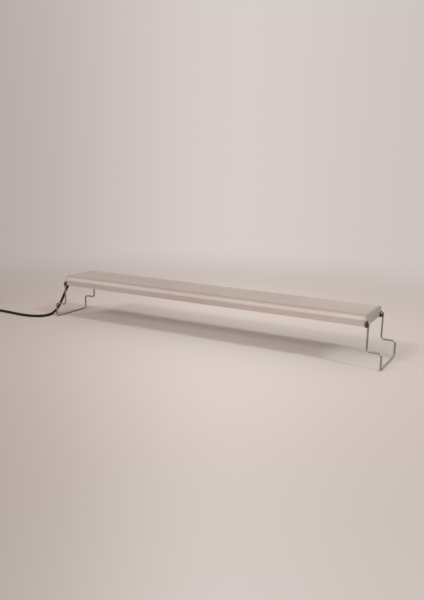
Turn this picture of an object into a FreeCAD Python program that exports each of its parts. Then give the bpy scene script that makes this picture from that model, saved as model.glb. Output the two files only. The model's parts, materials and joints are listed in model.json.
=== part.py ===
"""LED light bar for a fish tank: an aluminium channel on two bent wire stands, with a thin low-voltage lead.

Millimetres. +X runs along the bar, +Y to its back, +Z up. The origin is on the floor under its middle.
"""
import FreeCAD, Part
import math
import os
from FreeCAD import Vector

# ---- Driving dimensions ----
# Light bar
BAR_LENGTH = 600.0
BODY_WIDTH = 92.0
BODY_HEIGHT = 18.0
TOP_EDGE_R = 10.0
SIDE_WALL = 1.8
TOP_WALL = 2.2
CAP_T = 3.0
GASKET_T = 0.8
# Grooves for the lens
LIP_T = 1.2
LIP_W = 3.0
RIB_T = 1.2
LENS_T = 2.0
LENS_SIDE_GAP = 0.3
SEAL_T = 0.6
SEAL_SIDE_GAP = 0.4
# Screw channels and end cap screws
BOSS_INSET = 8.0
BOSS_DROP = 8.0
BOSS_WALL = 1.4
STEM_T = 2.0
CAP_SCREW_R = 1.45
CAP_SCREW_HEAD_R = 2.75
CAP_SCREW_HEAD_H = 1.4
CAP_SCREW_L = 13.0
SCREW_GAP = 0.05
# Stand wire
WIRE_D = 3.0
LEG_DROP = 26.0
UPRIGHT_DROP = 39.5
STEP_OUT = 23.5
WIRE_INSET = 1.5
WIRE_OUT = 3.5
STEP_BEND_R = 5.5
CROSSBAR_BEND_R = 5.0
WIRE_ABOVE_HOLDER = 2.5
WIRE_FIT = 0.05
# Leg holders
CHEEK_T = 1.3
CHEEK_H = 8.2
HOLDER_LIP_T = 1.0
HOLDER_LIP_W = 5.0
HOLDER_WRAP = 1.2
HOLDER_BLOCK_H = 5.5
HOLDER_INNER_WALL = 2.0
SEAT_WRAP = 0.9
TAB_W = 5.0
TAB_T = 2.0
TAB_H = 9.2
HOLDER_SCREW_R = 1.2
HOLDER_SCREW_HEAD_R = 2.2
HOLDER_SCREW_HEAD_H = 1.3
# Boards and LEDs
BOARD_W = 28.0
BOARD_T = 1.6
BOARD_SPACING = 4.0
BOARD_END_GAP = 24.0
PAD_T = 0.5
PAD_INSET = 1.0
LED_L = 3.5
LED_W = 2.8
LED_T = 0.8
LED_ROW_OFFSET = 7.0
LED_END_MARGIN = 20.0
WHITE_PER_ROW = 26
BLUE_PER_ROW = 13
BOARD_SCREWS_PER_ROW = 4
BOARD_SCREW_MARGIN = 10.0
BOARD_SCREW_R = 1.4
BOARD_SCREW_HEAD_R = 2.6
BOARD_SCREW_HEAD_H = 1.6
BOARD_SCREW_BITE = 1.4
# Terminal block and internal leads
TERMINAL_L = 8.0
TERMINAL_W = 14.0
TERMINAL_H = 10.5
TERMINAL_FROM_SLEEVE = 5.0
LEAD_D = 1.2
LEAD_SPACING = 2.4
BOARD_LEAD_DROP = 2.5
BOARD_LEAD_REACH = 9.0
# Cable gland and threaded hole in the other end cap
CORD_EXIT_HEIGHT = 7.0
GLAND_THREAD_R = 3.6
GLAND_FLANGE_R = 6.0
GLAND_FLANGE_T = 2.0
GLAND_SEAL_T = 0.8
GLAND_BORE_FIT = 0.1
CLAMP_WALL = 1.1
CLAMP_L = 4.0
SLEEVE_OUT = 2.0
RELIEF_L = 5.2
RELIEF_BASE_R = 4.0
RELIEF_TIP_WALL = 0.6
HANGING_THREAD_R = 2.0
# Lead
CORD_D = 5.0
COIL_TURNS = 6.25
COIL_INNER_R = 17.9
COIL_OUTER_R = 38.5
COIL_LAYERS = 2
TIE_T = 0.8
TIE_W = 8.0
# Plug
PLUG_R = 5.0
PLUG_GRIP_L = 18.0
PLUG_TAPER_L = 10.0
PLUG_TAPER_TIP_R = 3.2
BARREL_R = 2.75
BARREL_WALL = 0.6
BARREL_L = 9.5
INSULATOR_WALL = 0.85
INSULATOR_SHORTER = 0.5
CONTACT_WALL = 0.2
CONTACT_SHORTER = 1.0

# The lead's route: out of the gland, down in a droop, forward and away to the left on the floor
CORD_ROUTE = [
    (-308, 0, 74),
    (-315, 0, 74),
    (-322, 0, 71),
    (-329, 0, 63.5),
    (-337, -0.5, 52.5),
    (-342.5, -3, 39),
    (-345, -9, 25.5),
    (-345, -19, 13.5),
    (-344.5, -31.5, 5),
    (-343, -46, 2.5),
    (-343.5, -61, 2.5),
    (-354, -73, 2.5),
    (-372.5, -79.5, 2.5),
    (-396, -80.5, 2.5),
    (-421, -78.5, 2.5),
    (-447, -77.5, 2.5),
    (-474, -80, 2.5),
    (-502, -80.5, 2.5),
    (-530, -78, 2.5),
    (-555, -78, 2.5),
]
# From the coil's upper turn down to the plug, which lies on the floor beside the coil
TAIL_ROUTE = [
    (-591, -42, 7.5),
    (-591, -28, 7.5),
    (-591.5, -14, 6),
    (-592, -3, 5),
    (-592, 7, 5),
]

# ---- Places that follow from them ----
WIRE_R = WIRE_D / 2
CROSSBAR_Z = WIRE_R
STEP_Z = CROSSBAR_Z + LEG_DROP
BODY_BOTTOM = STEP_Z + UPRIGHT_DROP
BODY_TOP = BODY_BOTTOM + BODY_HEIGHT
CORD_EXIT_Z = BODY_BOTTOM + CORD_EXIT_HEIGHT
HALF_WIDTH = BODY_WIDTH / 2
END_X = BAR_LENGTH / 2
CAP_INNER_X = END_X - CAP_T
CHANNEL_END_X = CAP_INNER_X - GASKET_T
INNER_HALF_WIDTH = HALF_WIDTH - SIDE_WALL
CEILING_Z = BODY_TOP - TOP_WALL
GROOVE_BOTTOM = BODY_BOTTOM + LIP_T
GROOVE_TOP = GROOVE_BOTTOM + LENS_T + SEAL_T
BOSS_Y = HALF_WIDTH - BOSS_INSET
BOSS_Z = BODY_TOP - BOSS_DROP
WIRE_X = END_X + WIRE_OUT
WIRE_Y = HALF_WIDTH - WIRE_INSET
WIRE_HOLE_R = WIRE_R + WIRE_FIT
HOLDER_OUTER_X = WIRE_X + SEAT_WRAP
HOLDER_OUTER_Y = HALF_WIDTH + CHEEK_T
HOLDER_INNER_Y = WIRE_Y - WIRE_HOLE_R - HOLDER_INNER_WALL
HOLDER_BOTTOM = BODY_BOTTOM - HOLDER_LIP_T
HOLDER_BLOCK_TOP = HOLDER_BOTTOM + HOLDER_BLOCK_H
HOLDER_SCREW_Y = HOLDER_INNER_Y - TAB_W / 2
HOLDER_SCREW_Z = HOLDER_BOTTOM + TAB_H - TAB_W / 2
WIRE_TOP = HOLDER_BLOCK_TOP + WIRE_ABOVE_HOLDER
BOARD_HALF_L = CHANNEL_END_X - BOARD_END_GAP
BOARD_Y = (BOARD_SPACING + BOARD_W) / 2
PAD_BOTTOM = CEILING_Z - PAD_T
BOARD_BOTTOM = PAD_BOTTOM - BOARD_T
SLEEVE_INNER_X = CAP_INNER_X - CLAMP_L - SLEEVE_OUT
SLEEVE_R = CORD_D / 2
GLAND_BORE_R = SLEEVE_R + GLAND_BORE_FIT
FLANGE_INNER_X = END_X + GLAND_SEAL_T
FLANGE_OUTER_X = FLANGE_INNER_X + GLAND_FLANGE_T
TERMINAL_OUTER_X = SLEEVE_INNER_X - TERMINAL_FROM_SLEEVE
COIL_MIDDLE_R = (COIL_INNER_R + COIL_OUTER_R) / 2
COIL_CENTRE = Vector(CORD_ROUTE[-1][0], CORD_ROUTE[-1][1] + COIL_OUTER_R - CORD_D / 2, 0)
COIL_HEIGHT = COIL_LAYERS * CORD_D
PLUG_BASE = Vector(*TAIL_ROUTE[-1])
BARREL_BASE = PLUG_BASE + Vector(0, PLUG_TAPER_L + PLUG_GRIP_L, 0)
INSULATOR_R = BARREL_R - BARREL_WALL
CONTACT_R = INSULATOR_R - INSULATOR_WALL

ALONG_X = Vector(1, 0, 0)
ALONG_Y = Vector(0, 1, 0)
RUN_SHARE = 0.45


# ---- Shared shapes ----
def slab(x, y, z):
    """Box between two bounds along each axis."""
    low = Vector(min(x), min(y), min(z))
    high = Vector(max(x), max(y), max(z))
    size = high - low
    return Part.makeBox(size.x, size.y, size.z, low)


def rod_x(radius, start, end, y, z):
    """Round bar along X."""
    return Part.makeCylinder(radius, abs(end - start), Vector(min(start, end), y, z), ALONG_X)


def fuse(shapes):
    """One clean solid of several that touch."""
    return shapes[0].multiFuse(shapes[1:]).removeSplitter()


def other_end(shape):
    """The same piece at the left end of the bar."""
    return shape.mirror(Vector(0, 0, 0), ALONG_X)


def back_side(shape):
    """The same piece on the back half of the bar."""
    return shape.mirror(Vector(0, 0, 0), ALONG_Y)


def body_outline(start, end, inset=0.0, top_inset=0.0, extra_down=0.0):
    """Bar of the body's section, flat below and rounded along both top edges, from start to end along X."""
    side = HALF_WIDTH - inset
    top = BODY_TOP - top_inset
    bottom = BODY_BOTTOM - extra_down
    radius = TOP_EDGE_R - inset
    slant = radius * math.sqrt(0.5)
    back_middle = Vector(start, side - radius + slant, top - radius + slant)
    front_middle = Vector(start, -back_middle.y, back_middle.z)
    corners = [
        Vector(start, -side, bottom),
        Vector(start, side, bottom),
        Vector(start, side, top - radius),
        Vector(start, side - radius, top),
        Vector(start, radius - side, top),
        Vector(start, -side, top - radius),
    ]
    edges = [
        Part.LineSegment(corners[0], corners[1]),
        Part.LineSegment(corners[1], corners[2]),
        Part.Arc(corners[2], back_middle, corners[3]),
        Part.LineSegment(corners[3], corners[4]),
        Part.Arc(corners[4], front_middle, corners[5]),
        Part.LineSegment(corners[5], corners[0]),
    ]
    face = Part.Face(Part.Wire([edge.toShape() for edge in edges]))
    return face.extrude(Vector(end - start, 0, 0))


def half_angle(before, point, after):
    """Half the angle between the two runs that meet at a point."""
    return (before - point).getAngle(after - point) / 2


def rounded_path(points, radii):
    """Wire of straight runs through the points, joined by tangent arcs of the given radii."""
    edges = []
    here = points[0]
    for before, point, after, radius in zip(points, points[1:], points[2:], radii):
        half = half_angle(before, point, after)
        back = (before - point).normalize()
        ahead = (after - point).normalize()
        inwards = (back + ahead).normalize()
        set_back = radius / math.tan(half)
        middle = point + inwards * (radius / math.sin(half) - radius)
        start = point + back * set_back
        end = point + ahead * set_back
        edges.append(Part.LineSegment(here, start).toShape())
        edges.append(Part.Arc(start, middle, end).toShape())
        here = end
    edges.append(Part.LineSegment(here, points[-1]).toShape())
    return Part.Wire(edges)


def swept(points, radii, diameter):
    """Round bar or tube along a rounded path."""
    path = rounded_path(points, radii)
    ring = Part.Circle(points[0], points[1] - points[0], diameter / 2)
    section = Part.Wire(ring.toShape())
    return path.makePipeShell([section], True, False)


def soft_radii(points):
    """The largest tangent arcs that a lead's runs allow."""
    radii = []
    for before, point, after in zip(points, points[1:], points[2:]):
        shorter = min((point - before).Length, (after - point).Length)
        radii.append(RUN_SHARE * shorter * math.tan(half_angle(before, point, after)))
    return radii


def lead(name, route, diameter):
    """Lead along a route, with its radii and volume printed."""
    points = [Vector(*place) for place in route]
    radii = soft_radii(points)
    tube = swept(points, radii, diameter)
    length = rounded_path(points, radii).Length
    expected = math.pi * (diameter / 2) ** 2 * length
    print(name, "radii", [round(radius, 1) for radius in radii])
    print(name, "length", round(length, 1), "volume ratio", round(tube.Volume / expected, 4))
    return tube


# ---- Light bar ----
def screw_boss(y):
    """Screw channel that hangs from the ceiling of the channel on a stem."""
    radius = CAP_SCREW_R + SCREW_GAP + BOSS_WALL
    stem_top = BODY_TOP - TOP_WALL / 2
    stem = slab((-CHANNEL_END_X, CHANNEL_END_X), (y - STEM_T / 2, y + STEM_T / 2), (BOSS_Z, stem_top))
    return [rod_x(radius, -CHANNEL_END_X, CHANNEL_END_X, y, BOSS_Z), stem]


def groove_ledges(side):
    """Lip below the lens and rib above it, on the front (-1) or back (1) wall."""
    reach = (side * (INNER_HALF_WIDTH - LIP_W), side * (HALF_WIDTH - SIDE_WALL / 2))
    length = (-CHANNEL_END_X, CHANNEL_END_X)
    lip = slab(length, reach, (BODY_BOTTOM, GROOVE_BOTTOM))
    rib = slab(length, reach, (GROOVE_TOP, GROOVE_TOP + RIB_T))
    return [lip, rib]


def board_screw_places():
    """Middle of each board screw, on both boards."""
    span = 2 * (BOARD_HALF_L - BOARD_SCREW_MARGIN)
    step = span / (BOARD_SCREWS_PER_ROW - 1)
    return [(step * i - span / 2, y) for y in (-BOARD_Y, BOARD_Y) for i in range(BOARD_SCREWS_PER_ROW)]


def board_screw_hole(x, y, radius, bottom):
    """Round cutter for a board screw, up into the ceiling."""
    return Part.makeCylinder(radius, CEILING_Z + BOARD_SCREW_BITE - bottom, Vector(x, y, bottom))


def housing():
    """Aluminium channel, open below, with screw channels and lens grooves."""
    shell = body_outline(-CHANNEL_END_X, CHANNEL_END_X)
    hollow = body_outline(-CHANNEL_END_X, CHANNEL_END_X, SIDE_WALL, TOP_WALL, LIP_T)
    pieces = [shell.cut(hollow)]
    for side in (-1, 1):
        pieces += groove_ledges(side) + screw_boss(side * BOSS_Y)
    channel = fuse(pieces)
    for side in (-1, 1):
        bore = rod_x(CAP_SCREW_R + SCREW_GAP, -CHANNEL_END_X, CHANNEL_END_X, side * BOSS_Y, BOSS_Z)
        channel = channel.cut(bore)
    for x, y in board_screw_places():
        channel = channel.cut(board_screw_hole(x, y, BOARD_SCREW_R + SCREW_GAP, CEILING_Z))
    return channel


def cap_screw(y, gap=0.0):
    """Countersunk screw through the right end cap into its screw channel."""
    shank = rod_x(CAP_SCREW_R + gap, END_X - CAP_SCREW_L, END_X, y, BOSS_Z)
    cone_start = Vector(END_X - CAP_SCREW_HEAD_H, y, BOSS_Z)
    cone = Part.makeCone(CAP_SCREW_R + gap, CAP_SCREW_HEAD_R + gap, CAP_SCREW_HEAD_H, cone_start, ALONG_X)
    return shank.fuse(cone).removeSplitter()


def cap_plate(start, end, middle_hole_r):
    """Plate or sheet of the body's section with its screw holes and a middle hole."""
    plate = body_outline(start, end)
    for side in (-1, 1):
        plate = plate.cut(cap_screw(side * BOSS_Y, SCREW_GAP))
    return plate.cut(rod_x(middle_hole_r, start, end, 0, CORD_EXIT_Z))


def end_cap(middle_hole_r):
    """Right end cap, with tapped holes for the leg holders' screws."""
    cap = cap_plate(CAP_INNER_X, END_X, middle_hole_r)
    for side in (-1, 1):
        hole = rod_x(HOLDER_SCREW_R + SCREW_GAP, CAP_INNER_X, END_X, side * HOLDER_SCREW_Y, HOLDER_SCREW_Z)
        cap = cap.cut(hole)
    return cap


def gasket(middle_hole_r):
    """Rubber sheet between the channel and the right end cap."""
    return cap_plate(CHANNEL_END_X, CAP_INNER_X, middle_hole_r)


def cap_screws():
    """Both screws of the right end cap."""
    return Part.makeCompound([cap_screw(side * BOSS_Y) for side in (-1, 1)])


def lens():
    """Clear sheet that slides in the lower grooves."""
    reach = INNER_HALF_WIDTH - LENS_SIDE_GAP
    return slab((-CHANNEL_END_X, CHANNEL_END_X), (-reach, reach), (GROOVE_BOTTOM, GROOVE_BOTTOM + LENS_T))


def lens_seal():
    """Flat rubber strip on the front edge of the lens, below the rib."""
    y = (-(INNER_HALF_WIDTH - SEAL_SIDE_GAP), -(INNER_HALF_WIDTH - LIP_W))
    return slab((-CHANNEL_END_X, CHANNEL_END_X), y, (GROOVE_BOTTOM + LENS_T, GROOVE_TOP))


# ---- Boards and LEDs ----
def front_strip(inset, bottom, top):
    """Flat strip on the ceiling over the front half, with holes for the board screws."""
    half_length = BOARD_HALF_L - inset
    reach = BOARD_W / 2 - inset
    strip = slab((-half_length, half_length), (-BOARD_Y - reach, -BOARD_Y + reach), (bottom, top))
    for x, y in board_screw_places():
        if y < 0:
            strip = strip.cut(board_screw_hole(x, y, BOARD_SCREW_R + SCREW_GAP, bottom))
    return strip


def led_board():
    """Front circuit board with an aluminium core."""
    return front_strip(0.0, BOARD_BOTTOM, PAD_BOTTOM)


def thermal_pad():
    """Front heat-conducting pad between the board and the ceiling."""
    return front_strip(PAD_INSET, PAD_BOTTOM, CEILING_Z)


def led_row(count, y):
    """LEDs evenly spaced along one row under a board."""
    span = 2 * (BOARD_HALF_L - LED_END_MARGIN)
    width = (y - LED_W / 2, y + LED_W / 2)
    height = (BOARD_BOTTOM - LED_T, BOARD_BOTTOM)
    middles = [span * i / (count - 1) - span / 2 for i in range(count)]
    return [slab((x - LED_L / 2, x + LED_L / 2), width, height) for x in middles]


def led_rows(count, offset):
    """The same row under both boards, offset outwards from the middle of each."""
    return Part.makeCompound(led_row(count, -BOARD_Y - offset) + led_row(count, BOARD_Y + offset))


def board_screws():
    """Pan-head screws that clamp the boards to the ceiling."""
    screws = []
    for x, y in board_screw_places():
        shank = board_screw_hole(x, y, BOARD_SCREW_R, BOARD_BOTTOM)
        head_bottom = BOARD_BOTTOM - BOARD_SCREW_HEAD_H
        head = Part.makeCylinder(BOARD_SCREW_HEAD_R, BOARD_SCREW_HEAD_H, Vector(x, y, head_bottom))
        screws.append(head.fuse(shank).removeSplitter())
    return Part.makeCompound(screws)


def terminal_block():
    """Block under the ceiling at the left end, where the lead's wires are clamped."""
    x = (-TERMINAL_OUTER_X, TERMINAL_L - TERMINAL_OUTER_X)
    return slab(x, (-TERMINAL_W / 2, TERMINAL_W / 2), (CEILING_Z - TERMINAL_H, CEILING_Z))


def power_leads():
    """The lead's two wires, from its sleeve to the terminal block."""
    pair = []
    for side in (-1, 1):
        y = side * LEAD_SPACING / 2
        pair.append(rod_x(LEAD_D / 2, -SLEEVE_INNER_X, -TERMINAL_OUTER_X, y, CORD_EXIT_Z))
    return Part.makeCompound(pair)


def board_leads():
    """Two wires from the terminal block to each board."""
    start_x = TERMINAL_L - TERMINAL_OUTER_X
    middle_x = start_x + BOARD_LEAD_REACH / 2
    end_x = -BOARD_HALF_L + BOARD_LEAD_REACH / 2
    low_z = BOARD_BOTTOM - BOARD_LEAD_DROP
    leads = []
    for side in (-1, 1):
        for turn in (1, 2):
            start_y = side * turn * LEAD_SPACING
            end_y = side * (BOARD_SPACING / 2 + turn * 2 * LEAD_SPACING)
            points = [
                Vector(start_x, start_y, low_z),
                Vector(middle_x, start_y, low_z),
                Vector(end_x, end_y, low_z),
                Vector(end_x, end_y, BOARD_BOTTOM),
            ]
            leads.append(swept(points, [LEAD_D, LEAD_D], LEAD_D))
    return Part.makeCompound(leads)


# ---- Cable gland, built at the right end and mirrored to the left ----
def gland_body():
    """Flanged sleeve screwed into the end cap."""
    thread = rod_x(GLAND_THREAD_R, CAP_INNER_X, FLANGE_INNER_X, 0, CORD_EXIT_Z)
    flange = rod_x(GLAND_FLANGE_R, FLANGE_INNER_X, FLANGE_OUTER_X, 0, CORD_EXIT_Z)
    bore = rod_x(GLAND_BORE_R, CAP_INNER_X, FLANGE_OUTER_X, 0, CORD_EXIT_Z)
    return thread.fuse(flange).cut(bore).removeSplitter()


def gland_seal():
    """Rubber washer between the flange and the end cap."""
    washer = rod_x(GLAND_FLANGE_R, END_X, FLANGE_INNER_X, 0, CORD_EXIT_Z)
    return washer.cut(rod_x(GLAND_THREAD_R + SCREW_GAP, END_X, FLANGE_INNER_X, 0, CORD_EXIT_Z))


def cord_clamp():
    """Ring crimped on the sleeve inside the gland, so that the lead can't be pulled out."""
    start_x = CAP_INNER_X - CLAMP_L
    ring = rod_x(SLEEVE_R + CLAMP_WALL, start_x, CAP_INNER_X, 0, CORD_EXIT_Z)
    return ring.cut(rod_x(SLEEVE_R, start_x, CAP_INNER_X, 0, CORD_EXIT_Z))


def strain_relief():
    """Rubber sleeve through the gland that ends in a short taper outside it."""
    sleeve = rod_x(SLEEVE_R, SLEEVE_INNER_X, FLANGE_OUTER_X, 0, CORD_EXIT_Z)
    base = Vector(FLANGE_OUTER_X, 0, CORD_EXIT_Z)
    taper = Part.makeCone(RELIEF_BASE_R, SLEEVE_R + RELIEF_TIP_WALL, RELIEF_L, base, ALONG_X)
    return sleeve.fuse(taper).removeSplitter()


# ---- Leg holders and stands ----
def holder():
    """Front right leg holder: a snap seat for the wire, a hook round the cap's corner and a screw ear."""
    outer_y = -HOLDER_OUTER_Y
    inner_y = -HOLDER_INNER_Y
    hook_x = (END_X - HOLDER_WRAP, WIRE_X - WIRE_HOLE_R)
    cheek = slab(hook_x, (outer_y, -HALF_WIDTH), (HOLDER_BOTTOM, HOLDER_BOTTOM + CHEEK_H))
    lip = slab(hook_x, (outer_y, -HALF_WIDTH + HOLDER_LIP_W), (HOLDER_BOTTOM, BODY_BOTTOM))
    block = slab((END_X, HOLDER_OUTER_X), (outer_y, inner_y), (HOLDER_BOTTOM, HOLDER_BLOCK_TOP))
    tab_x = (END_X, END_X + TAB_T)
    tab = slab(tab_x, (inner_y, inner_y + TAB_W), (HOLDER_BOTTOM, HOLDER_SCREW_Z))
    tab_end = rod_x(TAB_W / 2, *tab_x, -HOLDER_SCREW_Y, HOLDER_SCREW_Z)
    solid = fuse([block, cheek, lip, tab, tab_end])
    wire_seat = Part.makeCylinder(WIRE_HOLE_R, CHEEK_H, Vector(WIRE_X, -WIRE_Y, HOLDER_BOTTOM))
    screw_hole = rod_x(HOLDER_SCREW_R + SCREW_GAP, *tab_x, -HOLDER_SCREW_Y, HOLDER_SCREW_Z)
    return solid.cut(wire_seat).cut(screw_hole)


def holder_screws():
    """Pan-head screws through both ears of the right end into the end cap."""
    tab_face = END_X + TAB_T
    screws = []
    for side in (-1, 1):
        y = side * HOLDER_SCREW_Y
        shank = rod_x(HOLDER_SCREW_R, CAP_INNER_X, tab_face, y, HOLDER_SCREW_Z)
        head = rod_x(HOLDER_SCREW_HEAD_R, tab_face, tab_face + HOLDER_SCREW_HEAD_H, y, HOLDER_SCREW_Z)
        screws.append(shank.fuse(head).removeSplitter())
    return Part.makeCompound(screws)


def stand():
    """Right stand: one wire down the front, out over the rim, along the floor and up the back."""
    step_x = WIRE_X + STEP_OUT
    front = [
        Vector(WIRE_X, -WIRE_Y, WIRE_TOP),
        Vector(WIRE_X, -WIRE_Y, STEP_Z),
        Vector(step_x, -WIRE_Y, STEP_Z),
        Vector(step_x, -WIRE_Y, CROSSBAR_Z),
    ]
    back = [Vector(point.x, -point.y, point.z) for point in reversed(front)]
    radii = [STEP_BEND_R, STEP_BEND_R, CROSSBAR_BEND_R]
    return swept(front + back, radii + radii[::-1], WIRE_D)


# ---- Lead, tie and plug ----
def full_coil():
    """Ring that the wound turns fill."""
    ring = Part.makeCylinder(COIL_OUTER_R, COIL_HEIGHT, COIL_CENTRE)
    return ring.cut(Part.makeCylinder(COIL_INNER_R, COIL_HEIGHT, COIL_CENTRE))


def cord_tie():
    """Band round the bundle of turns, pressed into its underside."""
    x = (COIL_CENTRE.x - TIE_W / 2, COIL_CENTRE.x + TIE_W / 2)
    y = (COIL_CENTRE.y + COIL_INNER_R - TIE_T, COIL_CENTRE.y + COIL_OUTER_R + TIE_T)
    turns = full_coil().common(slab(x, y, (TIE_T, COIL_HEIGHT)))
    return slab(x, y, (0, COIL_HEIGHT + TIE_T)).cut(turns)


def cord_coil():
    """Outer shape of the coiled turns, notched for the tie."""
    return full_coil().cut(cord_tie())


def plug_piece(radius, inner_radius, length):
    """Sleeve or pin of the plug, from the front face of its grip along Y."""
    outer = Part.makeCylinder(radius, length, BARREL_BASE, ALONG_Y)
    return outer.cut(Part.makeCylinder(inner_radius, length, BARREL_BASE, ALONG_Y))


def plug_grip():
    """Moulded grip with a taper towards the lead."""
    taper = Part.makeCone(PLUG_TAPER_TIP_R, PLUG_R, PLUG_TAPER_L, PLUG_BASE, ALONG_Y)
    grip = Part.makeCylinder(PLUG_R, PLUG_GRIP_L, PLUG_BASE + Vector(0, PLUG_TAPER_L, 0), ALONG_Y)
    return taper.fuse(grip).removeSplitter()


front_holder = holder()
front_seal = lens_seal()
front_board = led_board()
front_pad = thermal_pad()

parts = {
    "housing": housing(),
    "end_cap_right": end_cap(HANGING_THREAD_R),
    "end_cap_left": other_end(end_cap(GLAND_THREAD_R + SCREW_GAP)),
    "gasket_right": gasket(HANGING_THREAD_R + SCREW_GAP),
    "gasket_left": other_end(gasket(GLAND_FLANGE_R)),
    "cap_screws_right": cap_screws(),
    "cap_screws_left": other_end(cap_screws()),
    "lens": lens(),
    "lens_seal_front": front_seal,
    "lens_seal_rear": back_side(front_seal),
    "led_board_front": front_board,
    "led_board_rear": back_side(front_board),
    "thermal_pad_front": front_pad,
    "thermal_pad_rear": back_side(front_pad),
    "white_leds": led_rows(WHITE_PER_ROW, LED_ROW_OFFSET),
    "blue_leds": led_rows(BLUE_PER_ROW, -LED_ROW_OFFSET),
    "board_screws": board_screws(),
    "terminal_block": terminal_block(),
    "power_leads": power_leads(),
    "board_leads": board_leads(),
    "gland_body": other_end(gland_body()),
    "gland_seal": other_end(gland_seal()),
    "cord_clamp": other_end(cord_clamp()),
    "strain_relief": other_end(strain_relief()),
    "holder_right_front": front_holder,
    "holder_right_back": back_side(front_holder),
    "holder_left_front": other_end(front_holder),
    "holder_left_back": other_end(back_side(front_holder)),
    "holder_screws_right": holder_screws(),
    "holder_screws_left": other_end(holder_screws()),
    "stand_right": stand(),
    "stand_left": other_end(stand()),
    "power_cord": lead("power_cord", CORD_ROUTE, CORD_D),
    "cord_coil": cord_coil(),
    "cord_tail": lead("cord_tail", TAIL_ROUTE, CORD_D),
    "cord_tie": cord_tie(),
    "plug_grip": plug_grip(),
    "plug_barrel": plug_piece(BARREL_R, INSULATOR_R, BARREL_L),
    "plug_insulator": plug_piece(INSULATOR_R, CONTACT_R, BARREL_L - INSULATOR_SHORTER),
    "plug_contact": plug_piece(CONTACT_R, CONTACT_R - CONTACT_WALL, BARREL_L - CONTACT_SHORTER),
}

os.makedirs("parts", exist_ok=True)
for name, shape in parts.items():
    shape.exportStep(f"parts/{name}.step")
    print(name, "solids", len(shape.Solids), "valid", shape.isValid(), "volume", round(shape.Volume, 1))
print("coiled length", round(2 * math.pi * COIL_MIDDLE_R * COIL_TURNS, 1))
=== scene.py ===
# %% [markdown]
# # A light bar for a fish tank
# The object is a 600 mm aluminium channel with LEDs below it. It stands on bent wires that hook
# over the tank's rim, and a thin black lead leaves its left end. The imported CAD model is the
# frame: it gives every place and size. This notebook gives each piece its looks. Everything is in
# metres, with X along the bar, Y to its back and Z up.

import json
import math

import bmesh
import bpy
from mathutils import Matrix, Vector


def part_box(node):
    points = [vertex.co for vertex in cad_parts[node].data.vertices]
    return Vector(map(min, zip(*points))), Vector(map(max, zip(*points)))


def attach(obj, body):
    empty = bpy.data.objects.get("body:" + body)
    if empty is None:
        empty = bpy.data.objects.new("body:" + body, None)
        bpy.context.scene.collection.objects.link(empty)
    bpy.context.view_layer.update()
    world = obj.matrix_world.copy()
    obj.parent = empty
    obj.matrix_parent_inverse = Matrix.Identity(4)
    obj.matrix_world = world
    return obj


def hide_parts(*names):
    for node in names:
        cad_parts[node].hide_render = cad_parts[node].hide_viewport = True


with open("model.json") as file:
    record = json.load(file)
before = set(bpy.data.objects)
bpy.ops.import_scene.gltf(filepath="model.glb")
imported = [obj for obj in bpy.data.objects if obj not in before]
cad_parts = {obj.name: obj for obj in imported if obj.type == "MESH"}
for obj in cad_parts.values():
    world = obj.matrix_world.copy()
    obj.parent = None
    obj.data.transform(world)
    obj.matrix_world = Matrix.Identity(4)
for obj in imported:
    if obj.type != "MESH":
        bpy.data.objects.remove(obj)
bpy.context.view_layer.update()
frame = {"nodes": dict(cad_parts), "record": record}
nodes = frame["nodes"]
MM = 0.001

# %% [markdown]
# ## The camera
# A product picture like this is taken from a little above the bar and from its right. The lens is
# a normal one for the sensor and a little over a metre away, so the bar's far end looks clearly
# smaller. A camera in Blender looks along its own -Z, so the turns are, from last to first: a
# roll, a tilt up from looking straight down, and a turn round the vertical.

# %% Camera
CAMERA_PLACE = Vector((0.5511, -1.0020, 0.3097))
LENS_MM = 38.54
TURN, PITCH, ROLL = 28.62, 12.07, 1.18

camera = bpy.data.objects.new("camera", bpy.data.cameras.new("camera"))
bpy.context.scene.collection.objects.link(camera)
camera.data.lens = LENS_MM
camera.data.sensor_width = 36
camera.data.clip_end = 100
turn = Matrix.Rotation(math.radians(TURN), 4, "Z")
tilt = Matrix.Rotation(math.radians(90 - PITCH), 4, "X")
roll = Matrix.Rotation(math.radians(ROLL), 4, "Z")
camera.matrix_world = Matrix.Translation(CAMERA_PLACE) @ turn @ tilt @ roll
bpy.context.scene.camera = camera
bpy.context.scene.view_settings.view_transform = "Standard"
print("camera", [round(value, 3) for value in camera.location])

# %% [markdown]
# ## The lead
# A low-voltage lead is a round PVC sheath 5 mm thick, 1.5 m long. It comes straight out of the
# gland, droops under its own weight, bends forward on the floor and runs away to the left. The
# rest is wound into a neat coil held by a tie. One NURBS spline makes all of it: its control
# points are the same points that the CAD tube turns at, and the spline rounds them softly, as a
# real lead does. The coil is a loop that adds more points: a lower layer winding inwards and an
# upper layer winding back out.

# %% Lead
LEAD_D = 0.005
LEAD_ROUTE = [
    (-0.308, 0, 0.074),
    (-0.315, 0, 0.074),
    (-0.322, 0, 0.071),
    (-0.329, 0, 0.0635),
    (-0.337, -0.0005, 0.0525),
    (-0.3425, -0.003, 0.039),
    (-0.345, -0.009, 0.0255),
    (-0.345, -0.019, 0.0135),
    (-0.3445, -0.0315, 0.005),
    (-0.343, -0.046, 0.0025),
    (-0.3435, -0.061, 0.0025),
    (-0.354, -0.073, 0.0025),
    (-0.3725, -0.0795, 0.0025),
    (-0.396, -0.0805, 0.0025),
    (-0.421, -0.0785, 0.0025),
    (-0.447, -0.0775, 0.0025),
    (-0.474, -0.080, 0.0025),
    (-0.502, -0.0805, 0.0025),
    (-0.530, -0.078, 0.0025),
]
TAIL_ROUTE = [
    (-0.591, -0.028, 0.0075),
    (-0.5915, -0.014, 0.006),
    (-0.592, -0.003, 0.005),
    (-0.592, 0.007, 0.005),
]
COIL_MIDDLE = Vector((-0.555, -0.042))
COIL_OUTER_LINE, COIL_INNER_LINE = 0.036, 0.0204
COIL_TURNS = 6.25
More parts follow.
